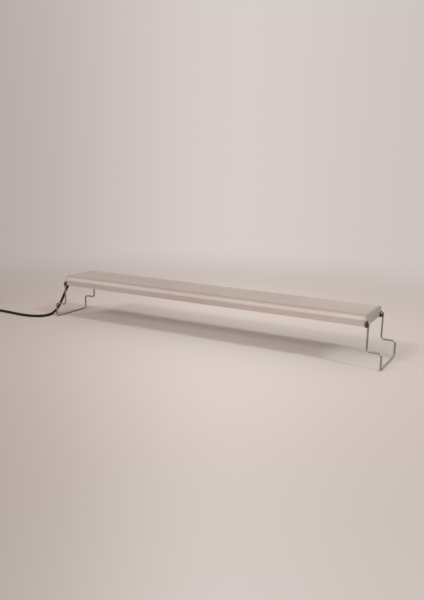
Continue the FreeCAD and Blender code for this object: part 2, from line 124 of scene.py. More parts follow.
POINTS_PER_TURN = 24
RISE_TURNS = 0.15


def coil_point(turns):
    """Point of the coil's line after some turns from where the lead enters it."""
    half = COIL_TURNS / 2
    along = abs(turns - half) / half
    radius = COIL_INNER_LINE + (COIL_OUTER_LINE - COIL_INNER_LINE) * along
    rise = min(max((turns - half) / RISE_TURNS + 0.5, 0), 1)
    angle = -math.pi / 2 - 2 * math.pi * turns
    middle = COIL_MIDDLE + radius * Vector((math.cos(angle), math.sin(angle)))
    return (middle.x, middle.y, LEAD_D / 2 + LEAD_D * rise)


coil_count = round(COIL_TURNS * POINTS_PER_TURN)
coil_points = [coil_point(i / POINTS_PER_TURN) for i in range(coil_count + 1)]
lead_points = LEAD_ROUTE + coil_points + TAIL_ROUTE

lead_curve = bpy.data.curves.new("lead", "CURVE")
lead_curve.dimensions = "3D"
lead_curve.bevel_depth = 1.0
lead_curve.bevel_resolution = 5
lead_curve.resolution_u = 8
lead_curve.use_fill_caps = True
spline = lead_curve.splines.new("NURBS")
spline.points.add(len(lead_points) - 1)
for point, place in zip(spline.points, lead_points):
    point.co = (*place, 1)
    point.radius = LEAD_D / 2
spline.order_u = 3
spline.use_endpoint_u = True
lead = bpy.data.objects.new("lead", lead_curve)
bpy.context.scene.collection.objects.link(lead)
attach(lead, "light_bar")
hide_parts("power_cord", "cord_coil", "cord_tail")
print("lead points", len(lead_points), "length", round(spline.calc_length(), 4))

# %% [markdown]
# ## Helpers for materials
# Paint charts give colours as sRGB hex values, but Blender counts light linearly, so one function
# turns one into the other. A second one adds a node with its settings and links to any tree, and
# a third starts a material. A value that is the same all over a surface goes straight on the
# shader.

# %% Colour, node and material helpers
def linear(hex_colour):
    """Linear red, green, blue and alpha of an sRGB hex colour."""
    parts = [int(hex_colour[i : i + 2], 16) / 255 for i in (1, 3, 5)]
    return (*[c / 12.92 if c <= 0.04045 else ((c + 0.055) / 1.055) ** 2.4 for c in parts], 1)


def add(tree, kind, inputs=None, **settings):
    """Adds a node. inputs maps a socket's name or number to a value, or to what feeds it."""
    node = tree.nodes.new(kind)
    for name, value in settings.items():
        setattr(node, name, value)
    for key, value in (inputs or {}).items():
        if isinstance(value, bpy.types.NodeSocket):
            tree.links.new(value, node.inputs[key])
        else:
            node.inputs[key].default_value = value
    return node


def start_material(name, **uniform):
    """Material with one Principled shader, whose uniform values are set on its own sockets."""
    material = bpy.data.materials.new(name)
    material.use_nodes = True
    shader = material.node_tree.nodes["Principled BSDF"]
    for key, value in uniform.items():
        shader.inputs[key.replace("_", " ")].default_value = value
    return material, material.node_tree, shader


def dress(material, *names):
    """Puts a material on CAD nodes whose shape is right as it is."""
    for name in names:
        for place in nodes[name].material_slots:
            place.material = material


print("white in linear light", linear("#FFFFFF"))

# %% [markdown]
# ## Satin anodised aluminium
# The channel is extruded aluminium, etched in a caustic bath and anodised. The etch leaves a fine
# satin surface, so highlights are broad. The extrusion die leaves faint lines along the bar. They
# are about 0.4 mm apart on the real one, and are drawn 0.8 mm apart so that they show. The lines
# come from a noise squeezed across the bar, which moves the bump, the tone and the roughness.

# %% Anodised aluminium
DIE_LINE = 0.8 * MM
DIE_LINE_RUN = 200 * MM
CLOUDS_PER_METRE = 9.0

anodised, tree, shader = start_material("satin anodised aluminium", Metallic=0.85)
place = add(tree, "ShaderNodeTexCoord")
squeeze = add(
    tree,
    "ShaderNodeMapping",
    {"Vector": place.outputs["Object"], "Scale": (1 / DIE_LINE_RUN, 1 / DIE_LINE, 1 / DIE_LINE)},
)
lines = add(
    tree, "ShaderNodeTexNoise", {"Vector": squeeze.outputs[0], "Scale": 1.0, "Detail": 3.0}
)
cloud = add(
    tree,
    "ShaderNodeTexNoise",
    {"Vector": place.outputs["Object"], "Scale": CLOUDS_PER_METRE, "Detail": 2.0},
)
both = add(
    tree,
    "ShaderNodeMath",
    {0: lines.outputs["Fac"], 1: cloud.outputs["Fac"]},
    operation="MULTIPLY",
)
tone = add(
    tree,
    "ShaderNodeMapRange",
    {"Value": both.outputs[0], "From Min": 0.1, "From Max": 0.45},
)
colour = add(
    tree,
    "ShaderNodeMix",
    {0: tone.outputs[0], 6: linear("#C4BBB6"), 7: linear("#D2C9C4")},
    data_type="RGBA",
)
rough = add(
    tree,
    "ShaderNodeMapRange",
    {
        "Value": lines.outputs["Fac"],
        "From Min": 0.3,
        "From Max": 0.7,
        "To Min": 0.46,
        "To Max": 0.56,
    },
)
bump = add(
    tree,
    "ShaderNodeBump",
    {"Height": lines.outputs["Fac"], "Strength": 0.25, "Distance": 0.03 * MM},
)
tree.links.new(colour.outputs[2], shader.inputs["Base Color"])
tree.links.new(rough.outputs[0], shader.inputs["Roughness"])
tree.links.new(bump.outputs[0], shader.inputs["Normal"])

print("channel finish", anodised.name)

# %% [markdown]
# ## Finishes with an even grain
# Cut plate, mouldings, rubbers and plated steel have no direction in them, only a fine grain or
# mottle. The same noise moves the colour between two close tones and lifts the bump, so one
# function makes such a finish from its tones, the size of its grain and how deep that is. The
# caps are the first: cut from plate and etched, so they have no die lines, only the even grain of
# the etch.

# %% Grained finishes
def grained(name, dark, light, grain_mm, strength, depth_mm, detail=3.0, **uniform):
    """Material whose fine grain moves its colour between two tones and lifts its bump."""
    material, tree, shader = start_material(name, **uniform)
    place = add(tree, "ShaderNodeTexCoord")
    grain = add(
        tree,
        "ShaderNodeTexNoise",
        {"Vector": place.outputs["Object"], "Scale": 1 / (grain_mm * MM), "Detail": detail},
    )
    colour = add(
        tree,
        "ShaderNodeMix",
        {0: grain.outputs["Fac"], 6: linear(dark), 7: linear(light)},
        data_type="RGBA",
    )
    tree.links.new(colour.outputs[2], shader.inputs["Base Color"])
    if strength:
        bump = add(
            tree,
            "ShaderNodeBump",
            {"Height": grain.outputs["Fac"], "Strength": strength, "Distance": depth_mm * MM},
        )
        tree.links.new(bump.outputs[0], shader.inputs["Normal"])
    return material


finish = {}
finish["etched aluminium plate"] = grained(
    "etched aluminium plate", "#A9A39B", "#BFB8B0", 0.5, 0.3, 0.03, Metallic=0.85, Roughness=0.46
)
print("cap finish", list(finish))

# %% [markdown]
# ## Drawn stainless wire
# The stands are spring-hard stainless wire pulled through a die, so its skin is smooth and fairly
# bright, with faint scratches and small dull patches where the bending tool held it.

# %% Stainless wire
PATCHES_PER_METRE, SCRATCHES_PER_METRE = 120.0, 1500.0
stainless, tree, shader = start_material("drawn stainless wire", Metallic=1.0)
place = add(tree, "ShaderNodeTexCoord")
patches = add(
    tree,
    "ShaderNodeTexNoise",
    {"Vector": place.outputs["Object"], "Scale": PATCHES_PER_METRE, "Detail": 4.0},
)
scratches = add(
    tree,
    "ShaderNodeTexNoise",
    {"Vector": place.outputs["Object"], "Scale": SCRATCHES_PER_METRE, "Detail": 2.0},
)
rough = add(
    tree,
    "ShaderNodeMapRange",
    {
        "Value": patches.outputs["Fac"],
        "From Min": 0.35,
        "From Max": 0.65,
        "To Min": 0.14,
        "To Max": 0.26,
    },
)
colour = add(
    tree,
    "ShaderNodeMix",
    {0: patches.outputs["Fac"], 6: linear("#8A8682"), 7: linear("#A7A39E")},
    data_type="RGBA",
)
bump = add(
    tree,
    "ShaderNodeBump",
    {"Height": scratches.outputs["Fac"], "Strength": 0.15, "Distance": 0.02 * MM},
)
tree.links.new(colour.outputs[2], shader.inputs["Base Color"])
tree.links.new(rough.outputs[0], shader.inputs["Roughness"])
tree.links.new(bump.outputs[0], shader.inputs["Normal"])
print("wire finish ready")

# %% [markdown]
# ## Black plastics and rubbers
# The holders are injection-moulded nylon with a spark-eroded grain about 0.3 mm across. The
# lead's sheath is soft PVC with a powdery skin that mirrors little, and the seals are matt rubber
# with a dusty bloom. They differ in roughness, in how much they mirror, in the size of their
# grain and in how black they are, so one loop makes them from a short table.

# %% Blacks and other mouldings
MOULDING_DEPTH_MM = 0.05
MOULDINGS = {
    # name: (dark colour, light colour, roughness, mirror level, grain size in mm, bump strength)
    "moulded black nylon": ("#232123", "#353233", 0.42, 0.5, 0.3, 0.35),
    "black PVC sheath": ("#070605", "#0F0D0C", 0.45, 0.2, 0.6, 0.10),
    "matt black rubber": ("#171615", "#2A2826", 0.75, 0.5, 0.2, 0.25),
    "moulded black PVC": ("#100F0E", "#1D1B1A", 0.45, 0.5, 0.25, 0.25),
    "grey silicone pad": ("#74797D", "#878C90", 0.65, 0.5, 0.5, 0.20),
    "grey silicone seal": ("#968C84", "#A59B93", 0.60, 0.5, 0.3, 0.15),
    "green terminal nylon": ("#1E5A2C", "#2A6E38", 0.45, 0.5, 0.3, 0.20),
    "natural nylon": ("#D3CFC2", "#E2DED3", 0.40, 0.5, 0.4, 0.10),
    "white LED case": ("#E4E3DE", "#F2F1EC", 0.35, 0.5, 0.2, 0.10),
}
for name, (dark, light, roughness, mirror, grain_mm, strength) in MOULDINGS.items():
    finish[name] = grained(
        name,
        dark,
        light,
        grain_mm,
        strength,
        MOULDING_DEPTH_MM,
        Roughness=roughness,
        Specular_IOR_Level=mirror,
    )
lead_curve.materials.append(finish["black PVC sheath"])
print("mouldings", list(MOULDINGS))

# %% [markdown]
# ## Plated screws, nickel, and the hanging thread's painted shade
# Small hardware is metal with a slight mottle, so a second table makes it. Zinc plating on the
# screws is bright and a little blue. The gland and the plug's barrel are brass under nickel,
# which is warm and bright. The hole in the right cap, which a hanging hook screws into, gets a
# near-black metal that is painted shade: it stands for the shade inside the thread.

# %% Hardware metals
MOTTLE_STRENGTH, MOTTLE_DEPTH_MM = 0.1, 0.02
METALS = {
    # name: (dark colour, light colour, roughness, mottle size in mm)
    "zinc-plated steel": ("#A5A7A9", "#C4C6C8", 0.28, 0.8),
    "nickel-plated brass": ("#B0A899", "#CCC5B8", 0.22, 1.0),
    # painted shade: near black, for the shade inside the hanging thread
    "blackened steel thread": ("#0B0A0A", "#141312", 0.80, 0.4),
}
for name, (dark, light, roughness, mottle_mm) in METALS.items():
    finish[name] = grained(
        name,
        dark,
        light,
        mottle_mm,
        MOTTLE_STRENGTH,
        MOTTLE_DEPTH_MM,
        Metallic=1.0,
        Roughness=roughness,
    )
print("metals", list(METALS))

# %% [markdown]
# ## The clear cover
# The cover below the channel is extruded acrylic, which is clear, with an IOR of 1.49. Its faces
# are as smooth as the die, so only a faint haze moves the roughness a little.

# %% Clear acrylic
HAZE_PER_METRE = 25.0
acrylic, tree, shader = start_material("clear acrylic sheet", IOR=1.49, Transmission_Weight=1.0)
place = add(tree, "ShaderNodeTexCoord")
haze = add(
    tree,
    "ShaderNodeTexNoise",
    {"Vector": place.outputs["Object"], "Scale": HAZE_PER_METRE, "Detail": 3.0},
)
rough = add(
    tree,
    "ShaderNodeMapRange",
    {
        "Value": haze.outputs["Fac"],
        "From Min": 0.3,
        "From Max": 0.7,
        "To Min": 0.03,
        "To Max": 0.08,
    },
)
tree.links.new(rough.outputs[0], shader.inputs["Roughness"])
dress(acrylic, "lens")
print("cover finish", acrylic.name)

# %% [markdown]
# ## Board, gels and strap
# The LED boards are aluminium-cored, with a white solder mask over copper tracks. The mask
# follows the copper, so the gaps between the tracks show as shallow grooves, drawn here by a
# brick pattern of long plates. The LEDs' gels are glossy silicone, one yellow with phosphor and
# one nearly clear. The tie is a woven strap, whose threads cross every half millimetre.

# %% Board, gels and strap
TRACK_LENGTH, TRACK_WIDTH, TRACK_GAP = 22 * MM, 6.5 * MM, 0.5 * MM
solder_mask, tree, shader = start_material("white solder mask", Roughness=0.35)
place = add(tree, "ShaderNodeTexCoord")
tracks = add(
    tree,
    "ShaderNodeTexBrick",
    {
        "Vector": place.outputs["Object"],
        "Color1": linear("#E6E6E1"),
        "Color2": linear("#DEDED8"),
        "Mortar": linear("#C9C9C2"),
        "Scale": 1.0,
        "Mortar Size": TRACK_GAP,
        "Brick Width": TRACK_LENGTH,
        "Row Height": TRACK_WIDTH,
    },
)
bump = add(
    tree,
    "ShaderNodeBump",
    {"Height": tracks.outputs["Fac"], "Strength": 0.4, "Distance": 0.05 * MM},
)
bump.invert = True
tree.links.new(tracks.outputs["Color"], shader.inputs["Base Color"])
tree.links.new(bump.outputs[0], shader.inputs["Normal"])

GELS = {
    # name: (dark colour, light colour, share of light let through)
    "yellow phosphor gel": ("#E3B92C", "#F0CF52", 0.0),
    "clear LED gel": ("#8FA6BE", "#C3D2DF", 0.5),
}
GEL_SWIRL_MM = 0.6
for name, (dark, light, clear) in GELS.items():
    finish[name] = grained(
        name,
        dark,
        light,
        GEL_SWIRL_MM,
        0,
        0,
        detail=1.0,
        Roughness=0.15,
        Transmission_Weight=clear,
    )

THREAD = 0.5 * MM
WAVE_AT_SCALE_ONE = 0.314  # metres from band to band of a wave texture of scale 1
strap, tree, shader = start_material("woven nylon strap", Roughness=0.8, Sheen_Weight=0.3)
place = add(tree, "ShaderNodeTexCoord")
threads = []
for direction in ("X", "Y"):
    threads.append(
        add(
            tree,
            "ShaderNodeTexWave",
            {
                "Vector": place.outputs["Object"],
                "Scale": WAVE_AT_SCALE_ONE / THREAD,
                "Distortion": 0.5,
            },
            bands_direction=direction,
        )
    )
weave = add(
    tree,
    "ShaderNodeMath",
    {0: threads[0].outputs["Fac"], 1: threads[1].outputs["Fac"]},
    operation="MAXIMUM",
)
colour = add(
    tree,
    "ShaderNodeMix",
    {0: weave.outputs[0], 6: linear("#0C0C0C"), 7: linear("#2B2A29")},
    data_type="RGBA",
)
bump = add(
    tree,
    "ShaderNodeBump",
    {"Height": weave.outputs[0], "Strength": 0.5, "Distance": 0.15 * MM},
)
tree.links.new(colour.outputs[2], shader.inputs["Base Color"])
tree.links.new(bump.outputs[0], shader.inputs["Normal"])
print("board, gels and strap ready")

# %% [markdown]
# ## Helpers for pieces
# Real edges are never knife-sharp: a deburred plate or a moulding has a small round that catches
# the light. Where the CAD shape is right but its edges are bare, a softened copy stands in for
# it. The copy is merged and freed of needless triangles, then a Bevel modifier rounds its edges,
# and weighted normals keep its flat faces flat.

# %% Piece helpers
FLAT, CORNER = math.radians(0.3), math.radians(40)  # bends that are no edge, and that are one
nodes_slot = {part["node"]: part["material_slot"] for part in frame["record"]["subparts"]}


def finished(piece, body, slot, *replaced):
    """Lets a piece ride on its body and stand for its CAD nodes. Its slot is not used."""
    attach(piece, body)
    if replaced:
        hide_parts(*replaced)
    return piece


def plain(piece):
    """Turns a piece with modifiers into a plain mesh."""
    graph = bpy.context.evaluated_depsgraph_get()
    mesh = bpy.data.meshes.new_from_object(piece.evaluated_get(graph))
    piece.modifiers.clear()
    piece.data = mesh
    return piece


def new_piece(name, mesh):
    """Object for a mesh, at the origin."""
    piece = bpy.data.objects.new(name, mesh)
    bpy.context.scene.collection.objects.link(piece)
    return piece


def merged_copy(node):
    """A CAD node's mesh with its loose triangles joined up."""
    work = bmesh.new()
    work.from_mesh(nodes[node].data)
    bmesh.ops.remove_doubles(work, verts=work.verts, dist=1e-7)
    return work


def softened(node, edge, material):
    """Copy of a CAD node with its sharp edges rounded by a radius, in metres."""
    work = merged_copy(node)
    bmesh.ops.dissolve_limit(work, angle_limit=FLAT, verts=work.verts, edges=work.edges)
    mesh = bpy.data.meshes.new(node + "_softened")
    work.to_mesh(mesh)
    work.free()
    mesh.materials.clear()
    mesh.materials.append(material)
    mesh.shade_smooth()
    piece = new_piece(mesh.name, mesh)
    rounding = piece.modifiers.new("rounding", "BEVEL")
    rounding.width = edge
    rounding.segments = 2
    rounding.limit_method = "ANGLE"
    rounding.angle_limit = CORNER
    rounding.use_clamp_overlap = True
    piece.modifiers.new("flat faces", "WEIGHTED_NORMAL").keep_sharp = True
    return finished(plain(piece), "light_bar", nodes_slot[node], node)


print("slots", len(set(nodes_slot.values())))

# %% [markdown]
# ## Helpers for small parts
# Small parts such as screws and LED cases are built from outlines stacked along Z, which may be
# round or square. The CAD node of a set of them holds one solid for each, so the boxes of its
# separate solids say where they go.

# %% Small part helpers
def solids_of(node):
    """Lowest and highest corner of each separate solid of a CAD node."""
    work = merged_copy(node)
    left = set(work.verts)
    found = []
    while left:
        group, edge = set(), [left.pop()]
        while edge:
            vert = edge.pop()
            group.add(vert)
            fresh = [e.other_vert(vert) for e in vert.link_edges]
            fresh = [v for v in fresh if v in left]
            left.difference_update(fresh)
            edge += fresh
        low = Vector([min(v.co[i] for v in group) for i in range(3)])
        high = Vector([max(v.co[i] for v in group) for i in range(3)])
        found.append((low, high))
    work.free()
    return sorted(found, key=lambda box: tuple(box[0]))


ROUND, SQUARE = 0, 4
RING_RIM = math.radians(35)


def ringed(name, rings, steps):
    """Closed mesh of outlines stacked along Z. A ring is its half width, half depth, height and
    number of sides, and one of no width is a single point."""
    work = bmesh.new()
    loops = []
    for half_width, half_depth, height, sides in rings:
        loop = []
        for i in range(steps if half_width else 1):
            angle = 2 * math.pi * i / steps
            reach = 1.0
            if sides:
                share = 2 * math.pi / sides
                reach = 1 / math.cos((angle + share / 2) % share - share / 2)
            spot = (reach * half_width * math.cos(angle), reach * half_depth * math.sin(angle))
            loop.append(work.verts.new((*spot, height)))
        loops.append(loop)
    for one, two in zip(loops, loops[1:]):
        for i in range(steps):
            corners = [one[i % len(one)], one[(i + 1) % len(one)]]
            corners += [two[(i + 1) % len(two)], two[i % len(two)]]
            unique = list(dict.fromkeys(corners))
            if len(unique) > 2:
                work.faces.new(unique)
    bmesh.ops.remove_doubles(work, verts=work.verts, dist=1e-8)
    bmesh.ops.recalc_face_normals(work, faces=work.faces)
    mesh = bpy.data.meshes.new(name)
    work.to_mesh(mesh)
    work.free()
    mesh.shade_smooth()
    mesh.set_sharp_from_angle(angle=RING_RIM)
    return mesh


print("LED solids", len(solids_of("white_leds")), "blue", len(solids_of("blue_leds")))

# %% [markdown]
# ## Channel, caps and holders
# These are the shapes that the eye meets first. The extruded channel is already round along its
# top, and gets only a tiny round on its cut ends and lower lips. The caps are cut plates with a
# 0.4 mm deburred rim, and the holders are mouldings with softer edges. Between cap and channel
# lies a grey silicone sheet, which hardly shows.

# %% Softened pieces
channel = softened("housing", 0.15 * MM, anodised)
cap = {}
for side in ("right", "left"):
    cap[side] = softened("end_cap_" + side, 0.4 * MM, finish["etched aluminium plate"])
    softened("gasket_" + side, 0.05 * MM, finish["grey silicone seal"])
    for end in ("front", "back"):
        softened(f"holder_{side}_{end}", 0.3 * MM, finish["moulded black nylon"])
softened("terminal_block", 0.4 * MM, finish["green terminal nylon"])
softened("gland_body", 0.4 * MM, finish["nickel-plated brass"])
softened("gland_seal", 0.2 * MM, finish["matt black rubber"])
softened("strain_relief", 0.35 * MM, finish["matt black rubber"])
softened("cord_tie", 0.25 * MM, strap)
dress(solder_mask, "led_board_front", "led_board_rear")
dress(finish["matt black rubber"], "lens_seal_front", "lens_seal_rear")
dress(finish["grey silicone pad"], "thermal_pad_front", "thermal_pad_rear")
dress(finish["black PVC sheath"], "power_leads", "board_leads")
dress(finish["nickel-plated brass"], "cord_clamp", "plug_barrel", "plug_contact")
dress(finish["natural nylon"], "plug_insulator")
print("channel faces", len(channel.data.polygons))

# %% [markdown]
# ## The hanging thread's painted shade
# The thread in the middle of the right cap is a dark dot even from far away, since the hole and
# its grooves hold shade. That shade is painted here: the faces of the cap close to the hole's
# middle take the near-black finish, the wall of the hole and its deburred rim.

# %% Hanging thread
PAINTED_SHADE_RIM = 2.5 * MM
heights = [vert.co.z for vert in cap["right"].data.vertices]
thread_z = (min(heights) + max(heights)) / 2
cap["right"].data.materials.append(finish["blackened steel thread"])
painted_shade_faces = 0
# painted shade: the faces round the thread's hole take the near-black finish
for face in cap["right"].data.polygons:
    if Vector((face.center.y, face.center.z - thread_z)).length < PAINTED_SHADE_RIM:
        face.material_index = 1
        painted_shade_faces += 1
print("faces of the thread", painted_shade_faces)

# %% [markdown]
# ## A Geometry Nodes tree for bent wire
# A wire stand is a straight wire that a tool bends at a few corners. The tree does the same: it
# takes the corners as a chain of points, rounds each one by its own radius, and sweeps a circle
# along. The radius of each bend and the wire's girth there are attributes of the points, so the
# cut ends can be a little thinner, as they are after deburring.

# %% Bent wire tree
def new_tree(name, inputs):
    """Empty geometry tree with named inputs, and its first and last node."""
    tree = bpy.data.node_groups.new(name, "GeometryNodeTree")
    tree.is_modifier = True
    for label, kind in inputs.items():
        tree.interface.new_socket(label, in_out="INPUT", socket_type="NodeSocket" + kind)
    tree.interface.new_socket("Result", in_out="OUTPUT", socket_type="NodeSocketGeometry")
    return tree, add(tree, "NodeGroupInput"), add(tree, "NodeGroupOutput")


def applied(piece, tree, **values):
    """Runs a tree on a piece with values for its named inputs, and leaves a plain mesh."""
    modifier = piece.modifiers.new(tree.name, "NODES")
    modifier.node_group = tree
    for item in tree.interface.items_tree:
        key = item.name.replace(" ", "_")
        if key in values:
            modifier[item.identifier] = values[key]
    return plain(piece)


bent_wire, given, result = new_tree(
    "bent wire",
    {"Corners": "Geometry", "Wire radius": "Float", "Facets": "Int", "Bend steps": "Int",
     "Finish": "Material"},
)
path = add(bent_wire, "GeometryNodeMeshToCurve", {"Mesh": given.outputs["Corners"]})
bend = add(bent_wire, "GeometryNodeInputNamedAttribute", {"Name": "bend"}, data_type="FLOAT")
girth = add(bent_wire, "GeometryNodeInputNamedAttribute", {"Name": "girth"}, data_type="FLOAT")
rounded = add(
    bent_wire,
    "GeometryNodeFilletCurve",
    {
        "Curve": path.outputs[0],
        "Count": given.outputs["Bend steps"],
        "Radius": bend.outputs["Attribute"],
    },
    mode="POLY",
)
circle = add(
    bent_wire,
    "GeometryNodeCurvePrimitiveCircle",
    {"Resolution": given.outputs["Facets"], "Radius": given.outputs["Wire radius"]},
)
swept = add(
    bent_wire,
    "GeometryNodeCurveToMesh",
    {
        "Curve": rounded.outputs[0],
        "Profile Curve": circle.outputs["Curve"],
        "Scale": girth.outputs["Attribute"],
        "Fill Caps": True,
    },
)
real = add(bent_wire, "GeometryNodeRealizeInstances", {"Geometry": swept.outputs[0]})
coated = add(
    bent_wire,
    "GeometryNodeSetMaterial",
    {"Geometry": real.outputs[0], "Material": given.outputs["Finish"]},
)
bent_wire.links.new(coated.outputs[0], result.inputs[0])
print("bent wire inputs", [item.name for item in bent_wire.interface.items_tree])

# %% [markdown]
# ## The two stands
# Each stand is one 3 mm wire: down the front, out over the tank's rim, down again, along the
# floor, and the same way up the back. The heights and the depth come from the CAD node's box.
# Only the height of the step and the two bend radii are given here.

# %% Stands
WIRE_R = 1.5 * MM
STEP_HEIGHT = 27.5 * MM
STEP_BEND, FLOOR_BEND = 5.5 * MM, 5.0 * MM
END_TAPER = ((0.0, 0.55), (0.25 * MM, 0.82), (0.6 * MM, 0.96), (1.1 * MM, 1.0))
WIRE_FACETS, BEND_STEPS = 24, 14
END_RIM = math.radians(60)

for side, name in ((1, "stand_right"), (-1, "stand_left")):
    low, high = (Vector(corner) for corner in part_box(name))
    inner_x = (low.x if side > 0 else high.x) + side * WIRE_R
    outer_x = (high.x if side > 0 else low.x) - side * WIRE_R
    front_y, top = low.y + WIRE_R, high.z
    half = [((inner_x, front_y, top - drop), 0.0, girth) for drop, girth in END_TAPER]
    half += [
        ((inner_x, front_y, STEP_HEIGHT), STEP_BEND, 1.0),
        ((outer_x, front_y, STEP_HEIGHT), STEP_BEND, 1.0),
        ((outer_x, front_y, low.z + WIRE_R), FLOOR_BEND, 1.0),
    ]
    corners = half + [((x, -y, z), bend, girth) for (x, y, z), bend, girth in reversed(half)]
    chain = bpy.data.meshes.new(name + "_wire")
    edges = [(i, i + 1) for i in range(len(corners) - 1)]
    chain.from_pydata([place for place, _, _ in corners], edges, [])
    chain.attributes.new("bend", "FLOAT", "POINT").data.foreach_set(
        "value", [bend for _, bend, _ in corners]
    )
    chain.attributes.new("girth", "FLOAT", "POINT").data.foreach_set(
        "value", [girth for _, _, girth in corners]
    )
    wire = applied(
        new_piece(name + "_wire", chain),
        bent_wire,
        Wire_radius=WIRE_R,
        Facets=WIRE_FACETS,
        Bend_steps=BEND_STEPS,
        Finish=stainless,
    )
    wire.data.shade_smooth()
    wire.data.set_sharp_from_angle(angle=END_RIM)
    finished(wire, name, nodes_slot[name], name)
    print(name, "faces", len(wire.data.polygons))

# %% [markdown]
# ## A Geometry Nodes tree for copies at places
# Screws and LEDs are all alike, so one of each is made and the tree sets copies of it at given
# places. A place is a vertex with two attributes: the way that the copy's top faces, and its
# size. Real screws stop at any angle, so each copy also turns by a random share of the largest
# turn, from a fixed seed.

# %% Copies tree
copies, given, result = new_tree(
    "copies at places",
    {"Places": "Geometry", "Piece": "Object", "Largest turn": "Float", "Seed": "Int",
     "Finish": "Material"},
)
facing = add(
    copies, "GeometryNodeInputNamedAttribute", {"Name": "facing"}, data_type="FLOAT_VECTOR"
)
size = add(copies, "GeometryNodeInputNamedAttribute", {"Name": "size"}, data_type="FLOAT")
aimed = add(
    copies, "FunctionNodeAlignRotationToVector", {"Vector": facing.outputs[0]}, axis="Z"
)
model = add(copies, "GeometryNodeObjectInfo", {"Object": given.outputs["Piece"]})
set_down = add(
    copies,
    "GeometryNodeInstanceOnPoints",
    {
        "Points": given.outputs["Places"],
        "Instance": model.outputs["Geometry"],
        "Rotation": aimed.outputs[0],
        "Scale": size.outputs[0],
    },
)
random_turn = add(
    copies,
    "FunctionNodeRandomValue",
    {2: 0.0, 3: given.outputs["Largest turn"], "Seed": given.outputs["Seed"]},
    data_type="FLOAT",
)
about_z = add(
    copies,
    "FunctionNodeAxisAngleToRotation",
    {"Axis": (0, 0, 1), "Angle": random_turn.outputs[1]},
)
turned = add(
    copies,
    "GeometryNodeRotateInstances",
    {"Instances": set_down.outputs[0], "Rotation": about_z.outputs[0], "Local Space": True},
)
real = add(copies, "GeometryNodeRealizeInstances", {"Geometry": turned.outputs[0]})
coated = add(
    copies,
    "GeometryNodeSetMaterial",
    {"Geometry": real.outputs[0], "Material": given.outputs["Finish"]},
)
copies.links.new(coated.outputs[0], result.inputs[0])


def copied(name, mesh, places, material, slot, *replaced, turn=0.0, seed=1):
    """Copies of a mesh at places, each a point, the way it faces and a size, as one piece."""
    model_piece = new_piece(name + "_model", mesh)
    spots = bpy.data.meshes.new(name)
    spots.from_pydata([place for place, _, _ in places], [], [])
    way = spots.attributes.new("facing", "FLOAT_VECTOR", "POINT")
    way.data.foreach_set("vector", [value for _, facing, _ in places for value in facing])
    scale = spots.attributes.new("size", "FLOAT", "POINT")
    scale.data.foreach_set("value", [size for _, _, size in places])
    piece = applied(
        new_piece(name, spots),
        copies,
        Piece=model_piece,
        Largest_turn=turn,
        Seed=seed,
        Finish=material,
    )
    bpy.data.objects.remove(model_piece)
    return finished(piece, "light_bar", slot, *replaced)


print("copies inputs", [item.name for item in copies.interface.items_tree])

# %% [markdown]
# ## Screws
# The caps are held by countersunk screws, the holders and the boards by pan-head ones. All have a
# cross recess. A head is a stack of rings, and the recess is cut with a Boolean modifier: two
# crossed wedges for the driver's blades. Each screw's own zero is the top of its head.

# %% Screw helper
RECESS_RIM = math.radians(30)
BLADE_SHARE = 0.28  # half width of a driver's blade for its half length
SCREW_STEPS, BLADE_STEPS = 32, 8


def screw(name, rings, recess_r, recess_depth):
    """Mesh of a round screw with a cross recess, from rings in millimetres, its top at 0."""
    round_rings = [(r * MM, r * MM, height * MM, ROUND) for r, height in rings]
    body = new_piece(name, ringed(name, round_rings, SCREW_STEPS))
    blade_w = recess_r * BLADE_SHARE
    cutter_work = bmesh.new()
    for long_x, long_y in ((recess_r, blade_w), (blade_w, recess_r)):
        blade = ringed(
            "blade",
            [
                (0, 0, -recess_depth, SQUARE),
                (long_x * 0.5, long_y * 0.5, -recess_depth, SQUARE),
                (long_x, long_y, recess_depth, SQUARE),
                (0, 0, recess_depth, SQUARE),
            ],
            BLADE_STEPS,
        )
        cutter_work.from_mesh(blade)
    cutter_mesh = bpy.data.meshes.new("driver")
    cutter_work.to_mesh(cutter_mesh)
    cutter_work.free()
    driver = new_piece("driver", cutter_mesh)
    cut = body.modifiers.new("recess", "BOOLEAN")
    cut.object = driver
    cut.solver = "EXACT"
    cut.use_self = True
    mesh = plain(body).data
    bpy.data.objects.remove(driver)
    bpy.data.objects.remove(body)
    mesh.shade_smooth()
    mesh.set_sharp_from_angle(angle=RECESS_RIM)
    return mesh


def tops(node, facing):
    """Middle of the face that each solid of a node turns towards a direction, as places."""
    found = []
    for low, high in solids_of(node):
        place = (low + high) / 2
        for i in range(3):
            if facing[i]:
                place[i] = high[i] if facing[i] > 0 else low[i]
        found.append((place, facing, 1.0))
    return found


print("screw steps", SCREW_STEPS)

# %% [markdown]
# ## The screws in their places
# The cap screws are 3 mm thick and 13 mm long, with a head flush in its countersink. The holder
# screws are small pan heads. The board screws are as long as the CAD node says. A cross recess
# looks the same after a quarter turn, so that is the largest random turn.

# %% Screws
RIGHT, LEFT, DOWN = (1, 0, 0), (-1, 0, 0), (0, 0, -1)
ANY_TURN = math.pi / 2

cap_rings = [(0, -13), (1.1, -13), (1.45, -12.5), (1.45, -1.45), (2.68, -0.08), (2.62, 0), (0, 0)]
cap_screw = screw("cap_screw", cap_rings, 1.7 * MM, 1.1 * MM)
pan_rings = [(0, -6.3), (1.2, -6.3), (1.2, -1.3), (2.2, -1.3), (2.2, -0.75)]
pan_rings += [(2.08, -0.4), (1.75, -0.13), (1.2, -0.02), (0, 0)]
pan_screw = screw("pan_screw", pan_rings, 1.35 * MM, 0.8 * MM)
for kind, mesh, seed in (("cap", cap_screw, 3), ("holder", pan_screw, 5)):
    ends = [f"{kind}_screws_right", f"{kind}_screws_left"]
    copied(
        kind + "_screw_set",
        mesh,
        tops(ends[0], RIGHT) + tops(ends[1], LEFT),
        finish["zinc-plated steel"],
        "zinc_screw",
        *ends,
        turn=ANY_TURN,
        seed=seed,
    )

